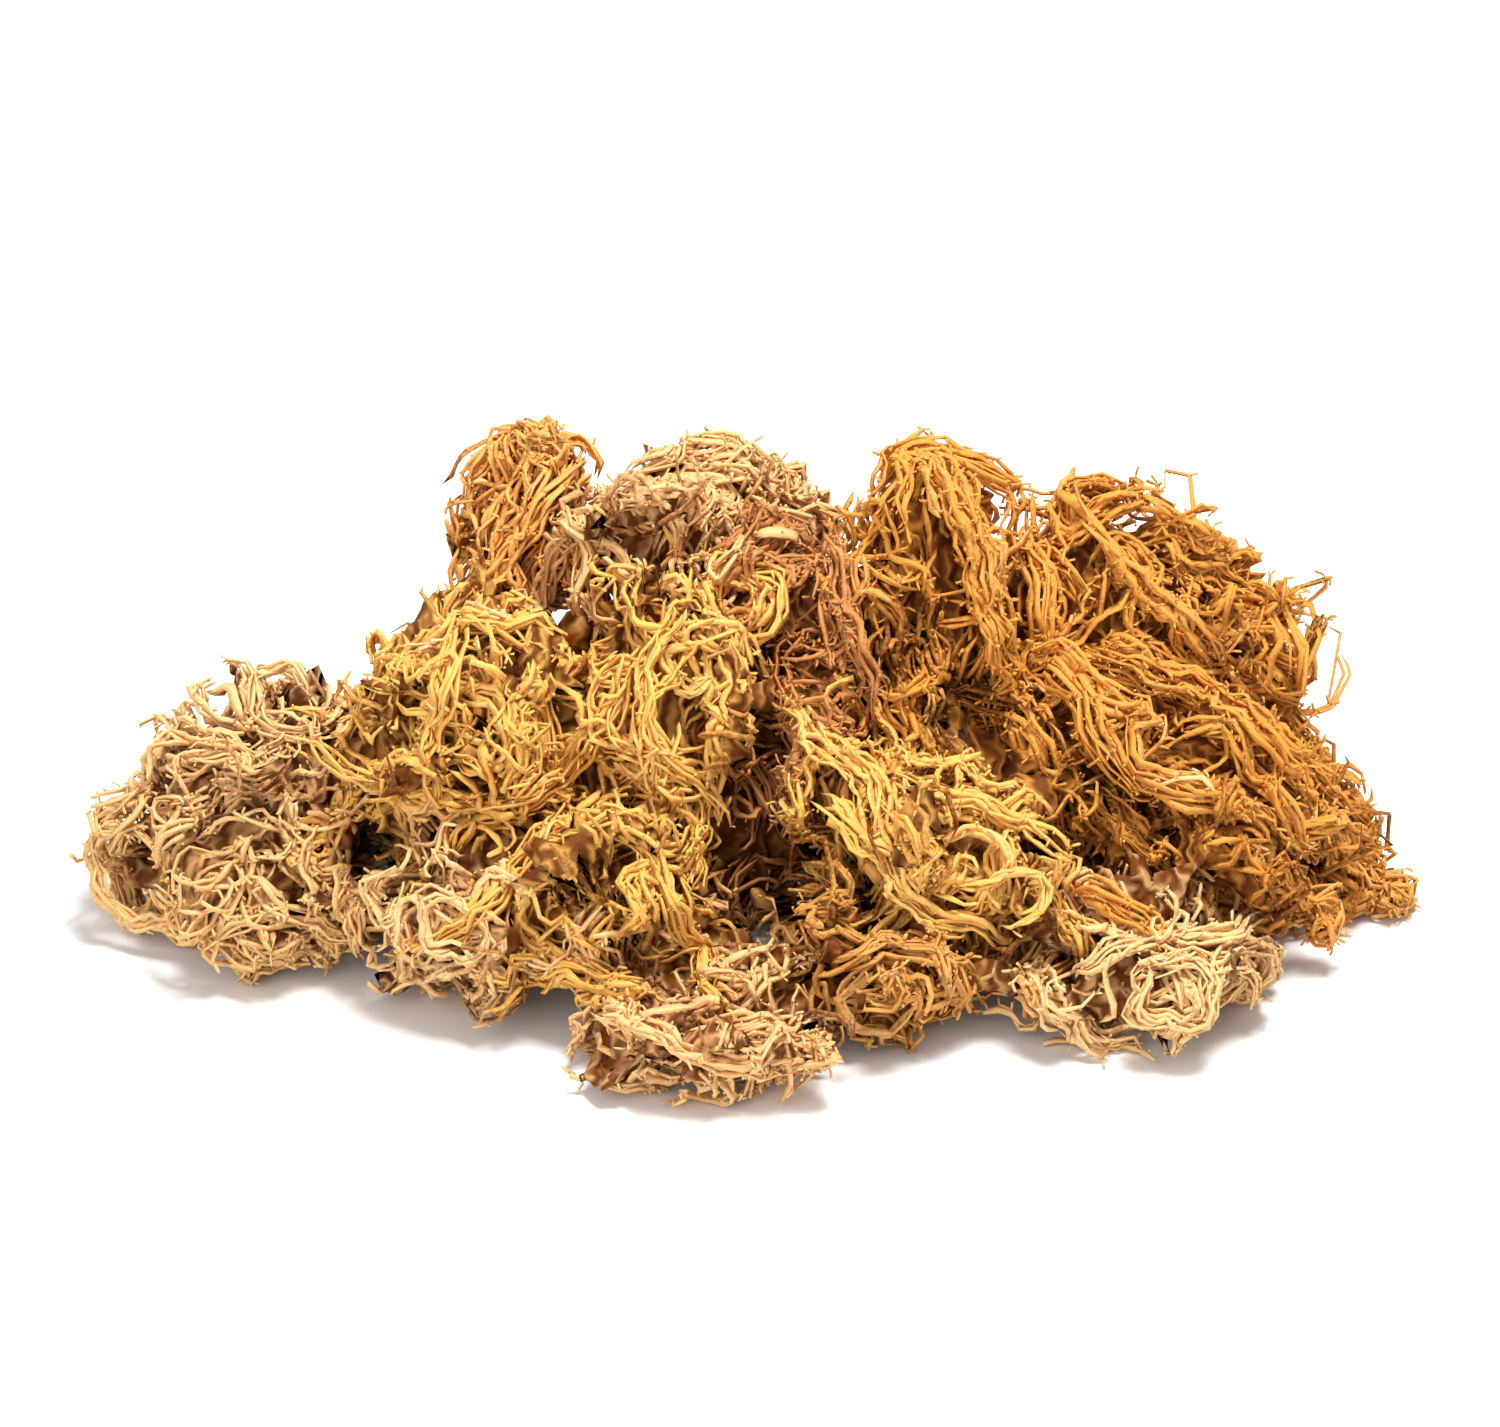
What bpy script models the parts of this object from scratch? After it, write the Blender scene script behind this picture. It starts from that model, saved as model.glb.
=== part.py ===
"""A tangled heap of sun-dried sea moss, as it lies on a table.

The heap is about 164 mm wide, 98 mm deep and 58 mm high. It is many tufts of thin, curly, branching
fronds that dried hooked into each other. Each tuft is one closed solid: a small lumpy heart with fronds
rooted in it, which comb along the tuft, swirl round it and stand out at their tips.

Metres, +Z up. X runs to the right along the heap's long side, and Y runs away from the viewer. The
origin is on the table, under the middle of the heap's box.
"""

import math
import random
from dataclasses import dataclass

import bmesh
import bpy
from mathutils import Vector, noise

MM = 0.001

# Driving sizes of every tuft
PRESSED = 1.14  # the tufts press together: each would be this much larger if it lay alone
GAP = 0.4 * MM  # air left between two tufts that press on each other
FROND_RADIUS = 1.5 * MM  # larger than life, so that a few fronds cover a tuft
TIP_RADIUS = 0.6 * MM
FROND_POINTS = 6
FROND_STEP = 4.4 * MM  # from point to point along a frond
FROND_SIDES = 3
FROND_CLEARANCE = (1.3, 2.0)  # in radii, from a frond's middle line to a wall or the table, drawn each step
HEART_SHARE = 0.82  # the heart's size against the tuft's
HEART_CLEARANCE = 1.0 * MM  # between the heart and a wall, which leaves room for the fronds
HEART_SEGMENTS = 10
HEART_RINGS = 7
LUMP_DEPTH = 0.26  # of the radius
LUMP_SIZE = 1.7  # lumps across a tuft
ROOT_DEPTH = 0.5  # where a frond is rooted, from the middle of the heart out to the surface
LAYER_RISE = 1.3 * FROND_RADIUS  # every second frond passes over the first ones
TIP_HEIGHT = 1.18  # where its tip ends, against the tuft's surface
CURL = 0.16  # the most that a frond turns more at each step than at the one before
SEED_JITTER = 0.25  # radians that a frond's place round the tuft may be off its even spacing
SHORTEST_STEP = 0.35  # of a full step
SHARPEST_TURN = -0.2  # the cosine of the turn between two steps
FEWEST_POINTS = 3
COMB = 1.1  # how strongly the fronds run along the tuft, less the tuft's swirl
WHORLS = 3  # in each tuft
WHORL_GRIP = 2.5  # a greater grip makes a smaller whorl
WHORL_STRENGTH = 2.0  # against the comb
WALL_PASSES = 6
WELD = 0.01 * MM
TRIES = 5

# Colours of the dried fronds, linear, by their materials' names
COLOURS = {
    "pale_frond": (0.66, 0.44, 0.22, 1.0),
    "gold_frond": (0.72, 0.40, 0.10, 1.0),
    "amber_frond": (0.52, 0.23, 0.05, 1.0),
    "brown_frond": (0.30, 0.13, 0.04, 1.0),
}


@dataclass
class Tuft:
    """One tuft: it grows along a line from start to end, and is an egg of these half sizes round it."""

    name: str
    start: tuple  # mm
    end: tuple  # mm
    half_width: float  # mm, level and across the line
    half_depth: float  # mm, across both
    fronds: int
    swirl: float  # 0 combs straight along the line, 1 runs in rings and curls
    material: str


TUFTS = (
    # the low end on the left
    Tuft("moss_left_loop", (-77, -5, 8), (-62, -2, 12), 6.5, 8, 10, 0.7, "pale_frond"),
    Tuft("moss_left_foot", (-72, -12, 7), (-45, -12, 10), 10.5, 9, 16, 0.6, "pale_frond"),
    Tuft("moss_left_shoulder", (-72, 3, 18), (-41, 0, 15.5), 12, 10.5, 16, 0.8, "pale_frond"),
    Tuft("moss_left_back", (-73, 12, 6.5), (-46, 17, 9), 11, 9, 11, 0.6, "amber_frond"),
    # the golden crown, left of the middle
    Tuft("moss_gold_bowl", (-44, -8, 20), (-15, -2, 33), 14, 12.5, 19, 1.0, "gold_frond"),
    Tuft("moss_gold_column", (-7, -14, 13.5), (-5, 3, 46), 10.5, 10, 17, 0.9, "gold_frond"),
    Tuft("moss_top_left", (-17, 15, 40), (12, 18, 42), 12.5, 10, 16, 0.7, "amber_frond"),
    Tuft("moss_back_spike", (-30, 20, 24), (-19, 25, 50), 6.5, 7, 12, 0.4, "amber_frond"),
    # the darker ridges in the middle
    Tuft("moss_brown_ridge", (6, 15, 45), (13, -10, 19), 10.5, 9.5, 16, 0.5, "brown_frond"),
    Tuft("moss_peak", (26, 19, 59), (29, -6, 20), 9.5, 9.5, 16, 0.3, "amber_frond"),
    # the fans on the right
    Tuft("moss_right_crown", (36, 15, 40), (69, 17, 25), 14.5, 12.5, 17, 0.6, "amber_frond"),
    Tuft("moss_right_fan", (32, 4, 29), (78, 0, 8), 15.5, 11.5, 20, 0.2, "amber_frond"),
    # the front row
    Tuft("moss_gold_fan", (8, -14, 25), (44, -22, 13), 11.5, 9, 17, 0.8, "gold_frond"),
    Tuft("moss_front_middle", (-18, -16, 21), (-4, -29, 9), 12.5, 9.5, 14, 0.7, "gold_frond"),
    Tuft("moss_front_left", (-34, -14, 15.5), (-29, -29, 6), 9.5, 10, 14, 0.9, "pale_frond"),
    Tuft("moss_front_foot", (-17, -39, 5), (12, -38, 6), 10, 6.5, 17, 0.5, "amber_frond"),
    Tuft("moss_front_nest", (10, -22, 12), (35, -26, 7), 11.5, 9, 15, 0.9, "gold_frond"),
    Tuft("moss_front_right", (37, -34, 7), (63, -23, 6), 10.5, 8.5, 17, 0.8, "pale_frond"),
    # the back, which the photograph doesn't show
    Tuft("moss_back_left", (-50, 22, 7), (-18, 27, 13), 13, 11, 13, 0.7, "amber_frond"),
    Tuft("moss_back_middle", (-18, 30, 11), (18, 31, 12.5), 12.5, 13, 13, 0.8, "gold_frond"),
    Tuft("moss_back_right", (17, 27, 14), (59, 25, 9), 13.5, 13.5, 13, 0.5, "amber_frond"),
    # what the crown stands on
    Tuft("moss_middle", (-27, 1, 11), (25, 4, 11), 15, 13, 6, 0.5, "brown_frond"),
)


class Egg:
    """A tuft's own frame: its centre, its three axes, its half sizes and its lumps."""

    def __init__(self, tuft):
        start, end = Vector(tuft.start) * MM, Vector(tuft.end) * MM
        along = (end - start).normalized()
        across = Vector((0, 0, 1)).cross(along).normalized()
        self.tuft = tuft
        self.seed = sum(ord(letter) for letter in tuft.name)
        self.centre = (start + end) / 2
        self.axes = (along, across, along.cross(across))
        self.half = (
            (end - start).length / 2 * PRESSED,
            tuft.half_width * MM * PRESSED,
            tuft.half_depth * MM * PRESSED,
        )
        self.walls = []
        self.rng = random.Random(self.seed)
        self.whorls = [
            (Vector([self.rng.gauss(0, 1) for _ in range(3)]).normalized(), self.rng.choice((-1, 1)))
            for _ in range(WHORLS)
        ]

    def reach(self, direction):
        """How far the egg reaches from its centre along a unit direction."""
        return math.sqrt(sum((h * axis.dot(direction)) ** 2 for h, axis in zip(self.half, self.axes)))

    def place(self, unit, height):
        """The point over a unit direction of the egg's own frame, at a height of 1 on its lumpy surface."""
        lump = 1 + LUMP_DEPTH * noise.noise(unit * LUMP_SIZE + Vector((self.seed, 0, 0)))
        point = self.centre.copy()
        for axis, half, share in zip(self.axes, self.half, unit):
            point += axis * (half * share * lump * height)
        return point

    def unit(self, point):
        """The unit direction that a point lies over."""
        away = point - self.centre
        return Vector([away.dot(axis) / half for axis, half in zip(self.axes, self.half)]).normalized()

    def heading(self, point, outward):
        """The way the fronds run at a point: along the tuft, and round its whorls."""
        away = self.unit(point)
        way = self.axes[0] * (COMB - self.tuft.swirl)
        for whorl, turn in self.whorls:
            nearness = math.exp(-WHORL_GRIP * (1 - whorl.dot(away)))
            way = way + whorl.cross(away) * (turn * nearness * self.tuft.swirl * WHORL_STRENGTH)
        return (way - outward * way.dot(outward)).normalized()

    def fit(self, point, clearance, lowest):
        """The point moved back inside the tuft's own cell, clear of its walls and no lower than given."""
        for _ in range(WALL_PASSES):
            for normal, distance in self.walls:
                over = (point - self.centre).dot(normal) - distance + clearance
                if over > 0:
                    point = point - normal * over
            point.z = max(point.z, lowest)
        return point


def raise_walls(eggs):
    """Gives each two tufts that meet a flat wall between them, so that neither is inside the other."""
    for i, one in enumerate(eggs):
        for other in eggs[i + 1 :]:
            apart = other.centre - one.centre
            normal = apart.normalized()
            near, far = one.reach(normal), other.reach(normal)
            cut = apart.length * near / (near + far)
            one.walls.append((normal, cut - GAP / 2))
            other.walls.append((-normal, apart.length - cut - GAP / 2))


def even_directions(count, rng):
    """Unit directions spread evenly over a ball, on a sunflower's spiral, each moved a little."""
    golden = math.pi * (3 - math.sqrt(5))
    turn = rng.uniform(0, math.tau)
    for i in range(count):
        z = 1 - 2 * (i + 0.5) / count
        ring = math.sqrt(1 - z * z)
        angle = turn + i * golden + rng.uniform(-SEED_JITTER, SEED_JITTER)
        yield Vector((ring * math.cos(angle), ring * math.sin(angle), z))


def frond_path(egg, unit, layer):
    """A frond's points: rooted in the heart, lying with its neighbours' curls, and lifting at the tip."""
    curl = egg.rng.uniform(-CURL, CURL)
    middle = (FROND_POINTS - 1) / 2
    point = egg.place(unit, 1)
    path = []
    for i in range(FROND_POINTS):
        lift = max(0.0, (i - middle) / middle)
        height = 1 + (TIP_HEIGHT - 1) * lift * lift
        outward = (point - egg.centre).normalized()
        raised = egg.place(egg.unit(point), height) + outward * (layer * LAYER_RISE)
        clearance = FROND_RADIUS * egg.rng.uniform(*FROND_CLEARANCE)
        path.append(egg.fit(raised, clearance, clearance))
        heading = egg.heading(point, outward)
        heading = (heading + outward.cross(heading) * curl * (i - 1)).normalized()
        point = egg.place(egg.unit(point + heading * FROND_STEP), 1)
    path[0] = egg.centre.lerp(path[0], ROOT_DEPTH)
    return without_folds(path)


def without_folds(path):
    """The path up to where it would turn back on itself or bunch up against a wall."""
    kept = path[:2]
    for point in path[2:]:
        step, last = point - kept[-1], kept[-1] - kept[-2]
        bunched = step.length < FROND_STEP * SHORTEST_STEP
        if bunched or step.normalized().dot(last.normalized()) < SHARPEST_TURN:
            break
        kept.append(point)
    return kept


def section_curve():
    """The triangle that every frond is swept from, of radius 1, so that a point's radius is its own."""
    data = bpy.data.curves.new("frond_section", "CURVE")
    data.dimensions = "2D"
    spline = data.splines.new("POLY")
    spline.points.add(FROND_SIDES - 1)
    for i, corner in enumerate(spline.points):
        angle = math.tau * i / FROND_SIDES
        corner.co = (math.cos(angle), math.sin(angle), 0, 1)
    spline.use_cyclic_u = True
    section = bpy.data.objects.new("frond_section", data)
    section.hide_render = True
    section.display_type = "WIRE"
    return section


def frond(path, section, collection):
    """One frond, swept along its path with a thin tip, as a closed mesh object."""
    data = bpy.data.curves.new("frond", "CURVE")
    data.dimensions = "3D"
    data.bevel_mode = "OBJECT"
    data.bevel_object = section
    data.use_fill_caps = True
    spline = data.splines.new("POLY")
    spline.points.add(len(path) - 1)
    for i, (point, place) in enumerate(zip(spline.points, path)):
        point.co = (*place, 1)
        point.radius = FROND_RADIUS + (TIP_RADIUS - FROND_RADIUS) * (i / (len(path) - 1)) ** 2
    swept = bpy.data.objects.new("frond_swept", data)
    collection.objects.link(swept)
    mesh = bpy.data.meshes.new_from_object(swept.evaluated_get(bpy.context.evaluated_depsgraph_get()))
    bpy.data.objects.remove(swept)
    close_mesh(mesh)
    solid = bpy.data.objects.new("frond", mesh)
    collection.objects.link(solid)
    return solid


def close_mesh(mesh):
    """Welds a swept mesh's caps to its sides, and points its faces outwards."""
    work = bmesh.new()
    work.from_mesh(mesh)
    bmesh.ops.remove_doubles(work, verts=work.verts, dist=WELD)
    bmesh.ops.recalc_face_normals(work, faces=work.faces)
    work.to_mesh(mesh)
    work.free()


def ball():
    """The corners and the triangles of a ball of radius 1, always in the same order."""
    corners = [Vector((0, 0, 1))]
    for ring in range(1, HEART_RINGS):
        slant = math.pi * ring / HEART_RINGS
        for i in range(HEART_SEGMENTS):
            turn = math.tau * i / HEART_SEGMENTS
            level = math.sin(slant)
            corners.append(Vector((level * math.cos(turn), level * math.sin(turn), math.cos(slant))))
    corners.append(Vector((0, 0, -1)))
    faces = []
    last = len(corners) - 1
    for i in range(HEART_SEGMENTS):
        after = (i + 1) % HEART_SEGMENTS
        faces.append((0, 1 + i, 1 + after))
        faces.append((last, last - HEART_SEGMENTS + after, last - HEART_SEGMENTS + i))
        for ring in range(HEART_RINGS - 2):
            upper = 1 + ring * HEART_SEGMENTS
            lower = upper + HEART_SEGMENTS
            faces.append((upper + i, lower + i, lower + after))
            faces.append((upper + i, lower + after, upper + after))
    return corners, faces


def heart(egg):
    """The tuft's lumpy heart, pressed flat where it meets the table and the tufts beside it."""
    units, faces = ball()
    corners = [egg.fit(egg.place(unit, HEART_SHARE), HEART_CLEARANCE, 0) for unit in units]
    mesh = bpy.data.meshes.new(egg.tuft.name)
    mesh.from_pydata(corners, [], faces)
    return bpy.data.objects.new(egg.tuft.name, mesh)


def join_fronds(body, fronds):
    """The heart and its fronds as one mesh, by a Boolean union. Removes the loose fronds."""
    union = body.modifiers.new("fronds", "BOOLEAN")
    union.operation = "UNION"
    union.operand_type = "COLLECTION"
    union.collection = fronds
    union.solver = "EXACT"
    joined = bpy.data.meshes.new_from_object(body.evaluated_get(bpy.context.evaluated_depsgraph_get()))
    body.modifiers.remove(union)
    for loose in list(fronds.objects):
        bpy.data.objects.remove(loose)
    keep_outside(joined)
    return joined


def islands(work):
    """The groups of faces that hang together, each as a list."""
    waiting = set(work.faces)
    while waiting:
        front = [waiting.pop()]
        island = list(front)
        while front:
            around = {face for edge in front.pop().edges for face in edge.link_faces}
            fresh = around & waiting
            waiting -= fresh
            front.extend(fresh)
            island.extend(fresh)
        yield island


def volume(faces):
    """The volume inside faces that point outwards, which is negative for a hollow's own wall."""
    return sum(
        a.co.dot(b.co.cross(c.co)) / 6
        for face in faces
        for a, b, c in [face.verts[:3]]
    )


def keep_outside(mesh):
    """Fills the hollows that fusing has sealed, and drops any loose scrap, so that one body is left."""
    work = bmesh.new()
    work.from_mesh(mesh)
    bmesh.ops.triangulate(work, faces=work.faces)
    found = sorted(islands(work), key=volume)
    bmesh.ops.delete(work, geom=[face for island in found[:-1] for face in island], context="FACES")
    work.to_mesh(mesh)
    work.free()


def is_closed(mesh):
    """Whether each edge is between exactly two faces."""
    work = bmesh.new()
    work.from_mesh(mesh)
    closed = all(len(edge.link_faces) == 2 for edge in work.edges)
    work.free()
    return closed


def dried_frond(name):
    """A matte, slightly waxy material in one of the fronds' colours."""
    material = bpy.data.materials.get(name) or bpy.data.materials.new(name)
    material.use_nodes = True
    shader = material.node_tree.nodes["Principled BSDF"]
    shader.inputs["Base Color"].default_value = COLOURS[name]
    shader.inputs["Roughness"].default_value = 0.6
    shader.inputs["Metallic"].default_value = 0.0
    return material


def make_tuft(egg, section, collection, fronds):
    """One tuft as a single solid: its heart with its fronds, grown again if they only touch somewhere."""
    body = heart(egg)
    collection.objects.link(body)
    for _ in range(TRIES):
        for i, unit in enumerate(even_directions(egg.tuft.fronds, egg.rng)):
            path = frond_path(egg, unit, i % 2)
            if len(path) >= FEWEST_POINTS:
                frond(path, section, fronds)
        joined = join_fronds(body, fronds)
        if is_closed(joined):
            break
    body.data = joined
    body.data.materials.clear()
    body.data.materials.append(dried_frond(egg.tuft.material))
    return body


def centre_on_table(bodies):
    """Moves the heap so that the origin is under the middle of its box, with its lowest faces on z = 0."""
    corners = [vertex.co for body in bodies for vertex in body.data.vertices]
    low = Vector([min(corner[axis] for corner in corners) for axis in range(3)])
    high = Vector([max(corner[axis] for corner in corners) for axis in range(3)])
    shift = Vector((-(low.x + high.x) / 2, -(low.y + high.y) / 2, -low.z))
    for body in bodies:
        for vertex in body.data.vertices:
            vertex.co += shift


def main():
    for old in list(bpy.data.objects):
        bpy.data.objects.remove(old)
    heap = bpy.data.collections.new("sea_moss_heap")
    fronds = bpy.data.collections.new("loose_fronds")
    bpy.context.scene.collection.children.link(heap)
    bpy.context.scene.collection.children.link(fronds)
    section = section_curve()
    eggs = [Egg(tuft) for tuft in TUFTS]
    raise_walls(eggs)
    bodies = [make_tuft(egg, section, heap, fronds) for egg in eggs]
    bpy.data.objects.remove(section)
    centre_on_table(bodies)


main()
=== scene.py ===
"""A tangled heap of sun-dried sea moss, and the pale table that it lies on.

Each tuft is one piece: hundreds of thin, crinkled fronds, which lie along the tuft's own solid in layers,
swirl round its whorls, branch, and lift at their tips. The fronds are swept as curves, since no other tool
makes so many at once, and are then made a mesh. Their colour follows four attributes of the mesh: the
frond's dye, how light it dried, how far along it a point is, and how deep that point lies, which paints
shade on the fronds that lie deep and light on those that lie bare.

Metres, +Z up, +X to the viewer's right, and +Y away from the viewer.
"""

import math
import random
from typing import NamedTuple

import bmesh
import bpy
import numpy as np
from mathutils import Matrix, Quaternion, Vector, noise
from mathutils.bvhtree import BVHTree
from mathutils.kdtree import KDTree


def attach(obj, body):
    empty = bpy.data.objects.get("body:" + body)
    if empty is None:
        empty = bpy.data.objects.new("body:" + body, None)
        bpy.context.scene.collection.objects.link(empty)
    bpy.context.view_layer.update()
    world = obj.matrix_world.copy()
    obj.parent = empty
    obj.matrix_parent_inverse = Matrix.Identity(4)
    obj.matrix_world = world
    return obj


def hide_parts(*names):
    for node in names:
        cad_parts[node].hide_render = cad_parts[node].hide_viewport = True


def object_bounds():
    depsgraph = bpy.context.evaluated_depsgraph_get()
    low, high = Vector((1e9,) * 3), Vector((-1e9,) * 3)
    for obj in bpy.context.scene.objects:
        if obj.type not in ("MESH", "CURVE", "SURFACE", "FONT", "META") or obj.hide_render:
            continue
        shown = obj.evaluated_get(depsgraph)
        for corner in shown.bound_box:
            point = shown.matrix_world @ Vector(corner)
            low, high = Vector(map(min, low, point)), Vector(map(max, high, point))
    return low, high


bl_info = {
    "name": "Dried Sea Moss",
    "version": (1, 0, 0),
    "blender": (4, 5, 0),
    "location": "View3D > Sidebar > Sea Moss",
    "description": "Grows a heap of sun-dried sea moss, tuft by tuft",
    "category": "Add Mesh",
}

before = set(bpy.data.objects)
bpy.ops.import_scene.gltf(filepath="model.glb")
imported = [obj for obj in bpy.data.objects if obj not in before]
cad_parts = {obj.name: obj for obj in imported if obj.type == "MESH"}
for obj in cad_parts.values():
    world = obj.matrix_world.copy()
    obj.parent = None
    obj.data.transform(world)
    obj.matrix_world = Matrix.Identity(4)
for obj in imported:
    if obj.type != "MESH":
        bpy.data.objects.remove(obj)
CAD_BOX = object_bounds()

MM = 0.001
MIDDLE = (Vector(CAD_BOX[0]) + Vector(CAD_BOX[1])) / 2

# The camera
ELEVATION = math.radians(28)
LENS = 120  # mm
SENSOR = 36  # mm
FRAME_FILL = 0.88  # the heap's share of the picture's width
VIEW = Vector((0, math.cos(ELEVATION), -math.sin(ELEVATION)))  # the way the camera looks
PICTURE_UP = Vector((0, math.sin(ELEVATION), math.cos(ELEVATION)))
TABLE_SIZE = 3  # m, half its side
SKY = 0.55  # how bright the studio's white surroundings are

# The skin that the fronds lie on
SKIN_VOXEL = 1.6 * MM
SKIN_CLOSING = 2.2 * MM  # gaps between tufts that are narrower than twice this are bridged
SKIN_SMOOTHING = 3
DEEP_CLOSING = 2.2 * MM  # as for the skin, and so on
DEEP_VOXEL = 1.7 * MM
DEEP_SMOOTHING = 4
DEEP_SINK = 3.0 * MM  # the matted middle lies this far in
DEEP_SWELL = 0.5  # how far it follows the folds up
DEEP_FOLLOW = 0.85  # and down, and the clumps
DEEP_THIN = 0.4  # of its own thickness, the farthest that it sinks
FLOOR_AIR = 0.65 * MM  # from the table to a frond's middle line, at the least
BOX_MARGIN = 0.02  # of each side, that a frond may stand proud of the solids' box

# How the fronds lie
SECTION_SIDES = 3
FOLLOW = 0.45  # how strongly a frond turns into the flow at each step
WHORL_SIZE = 11 * MM  # from whorl to whorl, about
WHORL_PULL = 1.6  # how strongly whorls turn the fronds, against the comb
SLOPE_STEP = 0.08  # of a whorl, over which its slope is measured
START_TURN = 0.35  # radians, how far a frond starts off the flow
AGAINST = -0.6  # a frond that runs this much against the flow isn't turned into it
WANDER = 0.3  # radians a step, how far a frond wanders
LIFT_START = 0.55  # of a lock's length, where its end begins to lift
LIFT_SPAN = 0.45  # of its length, over which it lifts
ROOT_STEPS = 3  # over which a frond rises from its root
RELIEF_SIZE = 7 * MM  # from clump to clump, about
RELIEF_DEPTH = 2.4 * MM  # how far the clumps rise and sink
FOLD_STEP = 2.0  # mm, along a fold's line
FOLD_REACH = 14 * MM
WAVE_RATE = 0.4  # of a wave, at each step
OWN_WAVE = 1.15 * MM  # how far a frond waves by itself
SHARED_WAVE = 1.1 * MM  # and with the others of its lock
SWAY_OFFSETS = (Vector((9, -2, 0.5)), Vector((0, 0, 0)), Vector((-7, 3, 8.5)))  # of its three noises
BLEND = 4.5 * MM  # how far the tufts' colours mix where they meet
ROOT_SINK = 2.2 * MM  # how far a frond's root lies under the rest of it
DARKEST = -4.2 * MM  # a frond at this height over the cover is in the deepest shade
LIGHTEST = 2.4 * MM  # and at this height in none
WELD = 0.001 * MM  # corners closer than this are one
CLOSEST = 0.1 * MM  # between two points of a frond
LOCK_TWIST = 0.07  # radians a step, how fast a lock's fronds wind round each other
LOCK_THICKNESS = 0.65  # of its width
TONE_SPREAD = 0.2  # how much the tones differ within a lock
RING_WOBBLE = 0.6  # how far a coil is from round
STIPE_HEIGHT = 1.6  # mm over the skin
BLUNT = 0.35  # how far a tip's last point stands off the one before, against a full step
FORESHORTENING = 1.15  # how much longer a drawn line is on the skin than it looks from the front

# What a tuft's cover is made of, in shares of the fronds' length
MATTED_SHARE = 0.20  # single fronds under the rest
LOCK_SHARE = 0.54
LOOSE_SHARE = 0.22  # curls on top
UNDER_SLOPE = -0.3  # a face whose way out points down more than this
UNDER_HEIGHT = 6 * MM  # and that lies lower than this is under the heap
UNDER_COVER = 0.35  # how dense the cover is there
TIGHT_SHARE = 0.45  # of the loose ones, those that coil tightly
TIGHT_FOLLOW = 0.1  # how strongly these turn into the flow at each step
LOCK_USED = 0.7  # of a lock's length, that its fronds fill on average
CANDIDATES = 5  # places tried for each lock, of which the one farthest from the others is kept


class Tuft(NamedTuple):
    """How one tuft's fronds run and look."""

    name: str
    comb: tuple  # the way they run
    swirl: float  # 0 follows the comb, 1 runs round whorls
    curl: float  # how tightly single fronds coil, in radians a step
    finish: str
    slot: str
    cover: float = 1.0  # how dense, against the other tufts
    lock: float = 24 * MM  # how long its locks are
    spurs: float = 0.6  # how many, against the sizes' spacing


LEFT_END = (
    Tuft("moss_left_loop", (1, 0.1, 0.3), 0.4, 0.10, "straw", "pale_frond", 0.8, 14 * MM),
    Tuft("moss_left_foot", (1, 0, 0.1), 0.5, 0.14, "straw", "pale_frond"),
    Tuft("moss_left_shoulder", (0.8, -0.2, -0.5), 0.7, 0.16, "sand", "pale_frond"),
    Tuft("moss_left_back", (1, 0.2, 0.1), 0.5, 0.12, "sand", "amber_frond", 0.7),
)
GOLD_CROWN = (
    Tuft("moss_gold_bowl", (0.6, -0.5, -0.6), 0.6, 0.14, "gold", "gold_frond", 1.2, 30 * MM, 0.25),
    Tuft("moss_gold_column", (0.1, -0.4, -0.9), 0.4, 0.12, "gold", "gold_frond", 1.25, 28 * MM, 0.25),
    Tuft("moss_top_left", (1, 0, 0.2), 0.6, 0.16, "rose_tan", "amber_frond", 1.2, 18 * MM, 0.9),
    Tuft("moss_back_spike", (0.3, 0.1, 1), 0.1, 0.06, "orange", "amber_frond", 1.3, 28 * MM, 0.4),
)
DARK_RIDGES = (
    Tuft("moss_brown_ridge", (0.2, -0.6, -0.8), 0.4, 0.14, "brown", "brown_frond", 1.4, 20 * MM, 1.1),
    Tuft("moss_peak", (0.35, -0.6, -0.8), 0.2, 0.1, "amber", "amber_frond", 1.3, 30 * MM, 0.9),
)
RIGHT_FANS = (
    Tuft("moss_right_crown", (0.8, -0.1, -0.5), 0.5, 0.17, "amber", "amber_frond", 1.15, 22 * MM, 1.0),
    Tuft("moss_right_fan", (0.85, -0.25, -0.5), 0.15, 0.08, "amber", "amber_frond", 1.1, 32 * MM, 0.95),
)
FRONT_ROW = (
    Tuft("moss_gold_fan", (0.9, -0.2, -0.35), 0.45, 0.12, "gold", "gold_frond", 1.1, 28 * MM, 0.3),
    Tuft("moss_front_middle", (0.3, -0.6, -0.7), 0.5, 0.13, "gold", "gold_frond", 1.1, 24 * MM, 0.4),
    Tuft("moss_front_left", (0.1, -0.7, -0.7), 0.7, 0.16, "sand", "pale_frond", 1.1, 18 * MM, 0.4),
    Tuft("moss_front_foot", (1, 0, 0), 0.4, 0.13, "rose_tan", "amber_frond", 1.0, 18 * MM, 0.8),
    Tuft("moss_front_nest", (0.8, -0.2, -0.3), 0.7, 0.16, "honey", "gold_frond", 1.1, 24 * MM, 0.5),
    Tuft("moss_front_right", (0.9, 0.4, 0), 0.7, 0.15, "sand", "pale_frond", 1.0, 24 * MM, 0.4),
)
BACK_ROW = (
    Tuft("moss_back_left", (1, 0.1, 0.1), 0.6, 0.13, "amber", "amber_frond", 0.8),
    Tuft("moss_back_middle", (1, -0.1, 0.1), 0.7, 0.13, "honey", "gold_frond", 0.8),
    Tuft("moss_back_right", (0.8, 0.2, -0.2), 0.5, 0.12, "amber", "amber_frond", 0.8),
    Tuft("moss_middle", (1, 0, 0), 0.5, 0.12, "brown", "brown_frond", 0.5),
)
ALL_TUFTS = LEFT_END + GOLD_CROWN + DARK_RIDGES + RIGHT_FANS + FRONT_ROW + BACK_ROW
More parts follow.
